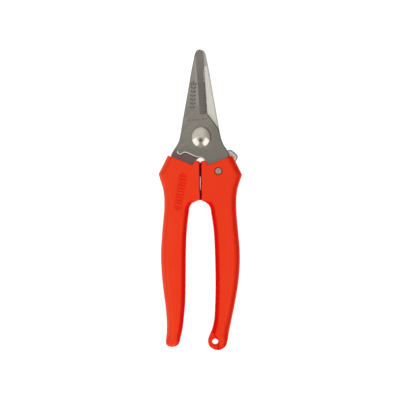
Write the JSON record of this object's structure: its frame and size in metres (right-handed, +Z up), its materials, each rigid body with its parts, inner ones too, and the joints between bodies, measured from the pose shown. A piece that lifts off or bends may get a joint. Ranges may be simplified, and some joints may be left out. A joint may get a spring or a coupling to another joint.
{
  "type": "floral snips",
  "caption": "Closed floral snips: two riveted stainless blades in moulded plastic grips, sprung open by a coil between the heads, with a thumb catch and a hanging lug.",
  "frame": {"origin": "on the surface that the closed snips lie on, below the centre of their bounding box", "axes": "+Y along the tool from the ends of the grips to the tips of the blades, +Z up through its thickness towards the front blade and the pivot rivet's domed head, +X towards the grip with the catch"},
  "size_m": [0.0526, 0.19, 0.013],
  "materials": {
    "grip_plastic": "satin moulded red-orange",
    "blade_steel": "brushed lengthways, ground edge darker",
    "rivet_steel": "polished",
    "zinc_steel": "zinc plated",
    "spring_wire": "bare drawn wire"
  },
  "bodies": {
    "right_half": {"front_blade": "blade_steel", "right_grip": "grip_plastic", "pivot_rivet": "rivet_steel", "pivot_washer": "zinc_steel", "catch_rivet": "rivet_steel", "catch_washer": "zinc_steel", "handle_spring": "spring_wire"},
    "left_half": {"rear_blade": "blade_steel", "left_grip": "grip_plastic"},
    "catch": {"catch_lever": "zinc_steel"}
  },
  "joints": [
    {"name": "blade_pivot", "type": "hinge", "parent": "right_half", "child": "left_half", "pos_m": [0, 0.0396, 0.0065], "axis": [0, 0, -1], "range_deg": [0, 25], "stiffness_Nm_per_rad": 0.24, "springref_deg": 31.23, "deforming": ["handle_spring"]},
    {"name": "catch_swing", "type": "hinge", "parent": "right_half", "child": "catch", "pos_m": [0.0114, 0.0181, 0.0053], "axis": [0, 0, -1], "range_deg": [0, 22]}
  ]
}
